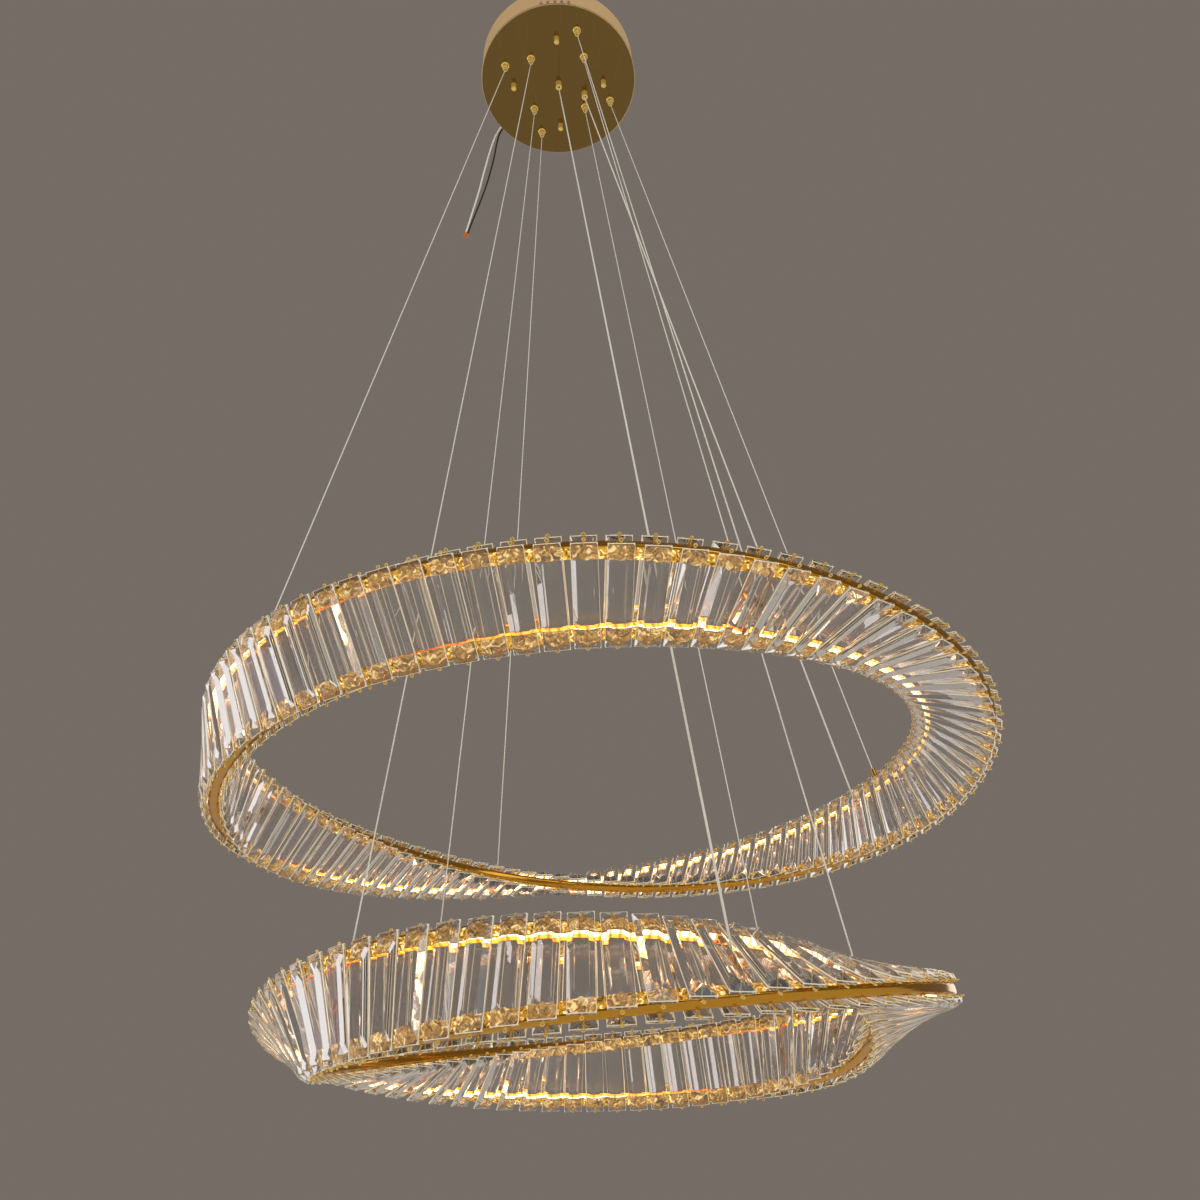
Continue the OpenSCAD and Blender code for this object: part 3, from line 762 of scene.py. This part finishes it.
class CHANDELIER_OT_crystals(bpy.types.Operator):
    """Cuts a crystal bar and hangs copies of it on both faces of each band"""

    bl_idname = "chandelier.crystals"
    bl_label = "Crystals"

    def execute(self, context):
        sizes = context.scene.chandelier_sizes
        crystal = self.cut_crystal(sizes.crystal_chamfer)
        lift = Matrix.Translation((0, 0, CRYSTAL_BACK))
        for ring, face, word in both_faces():
            node = f"{ring.name}_crystals_{word}"
            places = [band_matrix(ring, az, face) @ lift for az in crystal_azimuths(ring)]
            row = copies_at(crystal, places, f"{node}_cut")
            hand_over(row, f"{ring.name}_ring", "crystal", node, accent="crystal_edge")
        remove(crystal)
        return {"FINISHED"}

    def cut_crystal(self, chamfer):
        """A bar that is cut like a gem: each facet is a plane that takes a corner off."""
        crystal = add_box("crystal", (-CRYSTAL_X, -CRYSTAL_Y, 0), (CRYSTAL_X, CRYSTAL_Y, CRYSTAL_T))
        for name in ("crystal", "crystal_edge"):
            crystal.data.materials.append(bpy.data.materials[name])
        edit(crystal)
        for sx in (-1, 1):
            near, far = (Vector((sx * CRYSTAL_X, y, CRYSTAL_EDGE)) for y in (0, 1))
            self.facet(near, far, Vector((sx * TABLE_X, 0, CRYSTAL_T)))
        for sy in (-1, 1):
            point = Vector((0, sy * TABLE_POINT, CRYSTAL_T))
            corners = [Vector((sx * CRYSTAL_X, sy * CRYSTAL_Y, CRYSTAL_EDGE)) for sx in (-1, 1)]
            self.facet(point, *corners)
            for sx, corner in zip((-1, 1), corners):
                self.facet(point, corner, Vector((sx * TABLE_X, sy * TABLE_Y, CRYSTAL_T)))
        pick("EDGE", lambda edge: True)
        bpy.ops.mesh.bevel(offset=chamfer, segments=1, affect="EDGES", material=1)
        bpy.ops.object.mode_set(mode="OBJECT")
        for face in crystal.data.polygons:
            # only the outline gets the paler edge with its painted glow, and the ridges between
            # facets stay clear
            if face.center.z > CRYSTAL_EDGE + chamfer:
                face.material_index = 0
        return crystal

    def facet(self, a, b, c):
        """Cuts off what lies outside the plane through three points."""
        normal = (b - a).cross(c - a).normalized()
        inside = Vector((0, 0, CRYSTAL_T / 4))
        if (inside - a).dot(normal) > 0:
            normal = -normal
        bpy.ops.mesh.select_all(action="SELECT")
        bpy.ops.mesh.bisect(
            plane_co=a, plane_no=normal, use_fill=True, clear_outer=True, threshold=1e-7
        )


class CHANDELIER_OT_pins(bpy.types.Operator):
    """Bends an eye pin from wire and puts copies of it at both ends of every crystal"""

    bl_idname = "chandelier.pins"
    bl_label = "Eye pins"

    def execute(self, context):
        sizes = context.scene.chandelier_sizes
        pin = self.bend_pin(sizes.pin_wire, sizes.eye_sides)
        half_turn = Matrix.Rotation(math.pi, 4, "Z")
        for ring, face, word in both_faces():
            node = f"{ring.name}_pins_{word}"
            places = []
            for az in crystal_azimuths(ring):
                middle = band_matrix(ring, az, face)
                places += [middle, middle @ half_turn]
            row = copies_at(pin, places, f"{node}_bent")
            smooth(row, 50)
            hand_over(row, f"{ring.name}_ring", "fitting_gold", node)
        remove(pin)
        return {"FINISHED"}

    def bend_pin(self, wire, eye_sides):
        """An eye, a straight stem, and a round head with a rivet through the drilled crystal."""
        level = RAIL_HALF + STANDOFF / 2
        deselect_all()
        bpy.ops.mesh.primitive_torus_add(
            location=(0, EYE_Y, level), major_radius=(EYE_D - wire) / 2, minor_radius=wire / 2,
            major_segments=eye_sides, minor_segments=6,
        )  # fmt: skip
        eye = name_piece("eye")
        stem_end = EYE_Y - EYE_D / 2 + wire / 4
        deselect_all()
        bpy.ops.mesh.primitive_cylinder_add(
            vertices=6, radius=wire / 2, depth=stem_end - SEAT_Y, rotation=(math.pi / 2, 0, 0),
            location=(0, (stem_end + SEAT_Y) / 2, level),
        )  # fmt: skip
        parts = [eye, name_piece("stem")]
        for name, sides, radius, depth, z in (
            ("head", 10, HEAD_R, STANDOFF - HEAD_PLAY, level),
            ("rivet", 8, RIVET_R, RIVET_TOP - level, (RIVET_TOP + level) / 2),
            ("cap", 8, CAP_R, CAP_T, RIVET_TOP),
        ):
            deselect_all()
            bpy.ops.mesh.primitive_cylinder_add(
                vertices=sides, radius=radius, depth=depth, location=(0, SEAT_Y, z)
            )
            parts.append(name_piece(name))
        return join(parts, "pin")


# Cables


def midpoint(a, b, c, d):
    """The point halfway between b and c on a smooth curve through four points."""
    return (-a + 9 * b + 9 * c - d) / 16


def lead_points(side):
    """The route of one core of the lead, as the CAD sweeps it."""
    given = [
        Vector((LEAD_FACE + x * MM, side * (CORE_SIDE + y * MM), z * MM)) for x, y, z in LEAD_ROUTE
    ]
    turned = Matrix.Rotation(math.radians(LEAD_AZ), 4, "Z")
    points = []
    for i, point in enumerate(given[:-1]):
        before, after = given[max(i - 1, 0)], given[min(i + 2, len(given) - 1)]
        points += [point, midpoint(before, point, given[i + 1], after)]
    return [turned @ point for point in (*points, given[-1])]


def add_cable(name, points, diameter):
    """A round cable along points, as a curve of one open spline."""
    curve = bpy.data.curves.new(name, "CURVE")
    curve.dimensions = "3D"
    curve.bevel_depth = diameter / 2
    curve.bevel_resolution = 4
    curve.use_fill_caps = True
    spline = curve.splines.new("POLY")
    spline.points.add(len(points) - 1)
    for spot, point in zip(spline.points, points):
        spot.co = (*point, 1)
    cable = bpy.data.objects.new(name, curve)
    bpy.context.scene.collection.objects.link(cable)
    return cable


class CHANDELIER_OT_lead(bpy.types.Operator):
    """Makes the two single cores of the mains lead with their end caps"""

    bl_idname = "chandelier.lead"
    bl_label = "Mains lead"

    def execute(self, context):
        ends = []
        for side, word in ((1, "white"), (-1, "black")):
            points = lead_points(side)
            core = add_cable(f"lead_{word}_core", points, CORE_D)
            hand_over(core, "canopy", f"{word}_jacket", f"lead_{word}")
            ends.append((core, points))
        caps = self.end_caps([points for _, points in ends])
        return {"FINISHED"}

    def end_caps(self, routes):
        """An orange crimp cap on each core: a sleeve with a swelling and a closed round tip."""
        made = []
        for points in routes:
            deselect_all()
            bpy.ops.mesh.primitive_cylinder_add(
                vertices=20, radius=TIP_R, depth=TIP_LENGTH, location=(0, 0, TIP_LENGTH / 2)
            )
            cap = name_piece("cap")
            edit(cap)
            pick("FACE", lambda face: face.normal.z > 0.9)
            top = TIP_LENGTH
            for rise, width in ((2 * MM, 0.75), (1 * MM, 0.5)):
                top += rise
                bpy.ops.mesh.extrude_region_move(TRANSFORM_OT_translate={"value": (0, 0, rise)})
                bpy.ops.transform.resize(value=(width, width, 1), center_override=(0, 0, top))
            pick("EDGE", lambda edge: edge.calc_face_angle(0) > math.radians(20))
            bpy.ops.mesh.bevel(offset=0.3 * MM, segments=2, affect="EDGES")
            bpy.ops.object.mode_set(mode="OBJECT")
            aim = (points[-1] - points[-2]).to_track_quat("Z", "Y").to_matrix().to_4x4()
            cap.data.transform(Matrix.Translation(points[-1]) @ aim)
            made.append(cap)
        caps = join(made, "lead_tips_caps")
        smooth(caps, 35)
        hand_over(caps, "canopy", "orange_cap", "lead_tips")
        return caps


# Stage


class CHANDELIER_OT_stage(bpy.types.Operator):
    """Sets the pale floor, the studio light and the photograph's camera"""

    bl_idname = "chandelier.stage"
    bl_label = "Stage"

    def execute(self, context):
        self.camera(context)
        self.floor()
        self.world(context)
        for light in SOFT_LIGHTS:
            self.softbox(*light)
        return {"FINISHED"}

    def camera(self, context):
        """The camera that was fitted to the two rings: 30 mm lens, below them and looking up."""
        pitch, roll, yaw = (math.radians(a) for a in CAMERA_TURN)
        ahead = Vector((-math.sin(yaw), math.cos(yaw), 0))
        level = Vector((math.cos(yaw), math.sin(yaw), 0))
        forward = ahead * math.cos(pitch) + Vector((0, 0, math.sin(pitch)))
        up = Vector((0, 0, math.cos(pitch))) - ahead * math.sin(pitch)
        right = level * math.cos(roll) - up * math.sin(roll)
        top = level * math.sin(roll) + up * math.cos(roll)
        camera = bpy.data.objects.new("camera", bpy.data.cameras.new("camera"))
        camera.data.lens = CAMERA_LENS
        camera.data.shift_x, camera.data.shift_y = CAMERA_SHIFT
        camera.data.clip_start = 0.05
        context.scene.collection.objects.link(camera)
        turned = Matrix((right, top, -forward)).transposed().to_4x4()
        camera.matrix_world = Matrix.Translation(CAMERA_PLACE) @ turned
        context.scene.camera = camera

    def floor(self):
        """A plain pale floor under the lamp."""
        deselect_all()
        bpy.ops.mesh.primitive_circle_add(
            vertices=128, radius=FLOOR_RADIUS, fill_type="NGON", location=(0, 0, FLOOR_Z)
        )
        floor = name_piece("floor")
        new_material("pale_floor", {"Base Color": linear("#D9D6D0"), "Roughness": 0.7})
        floor.data.materials.append(bpy.data.materials["pale_floor"])

    def world(self, context):
        """Soft light all round, and a quiet warm grey behind the lamp."""
        world = bpy.data.worlds.new("studio")
        context.scene.world = world
        world.use_nodes = True
        tree = world.node_tree
        tree.nodes.clear()
        rays = add_node(tree, "ShaderNodeLightPath")
        larger, times = {"operation": "MAXIMUM"}, {"operation": "MULTIPLY"}
        sharp = add_node(
            tree, "ShaderNodeMath", larger,
            [(rays, "Is Glossy Ray", 0), (rays, "Is Transmission Ray", 1)],
        )  # fmt: skip
        seen = add_node(tree, "ShaderNodeMath", larger, [(rays, "Is Camera Ray", 0), (sharp, 0, 1)])
        # what lies behind a crystal is still lit by the soft light
        none_yet = {"operation": "LESS_THAN", 1: 0.5}
        first = add_node(tree, "ShaderNodeMath", none_yet, [(rays, "Diffuse Depth", 0)])
        seen = add_node(tree, "ShaderNodeMath", times, [(seen, 0, 0), (first, 0, 1)])
        light, behind = (
            add_node(tree, "ShaderNodeBackground", {"Color": linear(colour), "Strength": strength})
            for colour, strength in (("#F4F1EC", SOFT_STRENGTH), ("#756D65", 1.0))
        )
        mixed = [(seen, 0, 0), (light, 0, 1), (behind, 0, 2)]
        mix = add_node(tree, "ShaderNodeMixShader", (), mixed)
        add_node(tree, "ShaderNodeOutputWorld", (), [(mix, 0, "Surface")])

    def softbox(self, name, place, size, power):
        """A soft light, wide and high as given, that faces the middle of the rings."""
        lamp = bpy.data.lights.new(name, "AREA")
        lamp.shape = "RECTANGLE"
        lamp.size, lamp.size_y = size
        lamp.energy = power
        box = bpy.data.objects.new(name, lamp)
        bpy.context.scene.collection.objects.link(box)
        box.location = place
        aim = Vector(LAMP_MIDDLE) - Vector(place)
        box.rotation_euler = aim.to_track_quat("-Z", "Y").to_euler()
        box.visible_camera = False


class CHANDELIER_PT_panel(bpy.types.Panel):
    """Lists the steps that dress the chandelier"""

    bl_idname = "CHANDELIER_PT_panel"
    bl_label = "Chandelier"
    bl_space_type = "VIEW_3D"
    bl_region_type = "UI"
    bl_category = "Chandelier"

    def draw(self, context):
        column = self.layout.column()
        for group in (context.scene.chandelier_sizes, context.scene.chandelier_finishes):
            for key in group.bl_rna.properties.keys():
                if key not in ("rna_type", "name"):
                    column.prop(group, key)
        for step in STEPS:
            column.operator(step.bl_idname)


STEPS = (
    CHANDELIER_OT_stage,
    CHANDELIER_OT_finishes,
    CHANDELIER_OT_lead,
    CHANDELIER_OT_round_edges,
    CHANDELIER_OT_rails,
    CHANDELIER_OT_strips,
    CHANDELIER_OT_crystals,
    CHANDELIER_OT_pins,
)
CLASSES = (Finishes, Sizes, *STEPS, CHANDELIER_PT_panel)


def register():
    for cls in CLASSES:
        bpy.utils.register_class(cls)
    bpy.types.Scene.chandelier_finishes = PointerProperty(type=Finishes)
    bpy.types.Scene.chandelier_sizes = PointerProperty(type=Sizes)


def unregister():
    del bpy.types.Scene.chandelier_sizes
    del bpy.types.Scene.chandelier_finishes
    for cls in reversed(CLASSES):
        bpy.utils.unregister_class(cls)


def main():
    """Builds everything in order."""
    bpy.context.scene.view_settings.view_transform = "Standard"
    register()
    bpy.ops.chandelier.stage()
    bpy.ops.chandelier.finishes()
    bpy.ops.chandelier.lead()
    bpy.ops.chandelier.round_edges()
    bpy.ops.chandelier.rails()
    bpy.ops.chandelier.strips()
    bpy.ops.chandelier.crystals()
    bpy.ops.chandelier.pins()
    deselect_all()


if __name__ == "__main__":
    main()
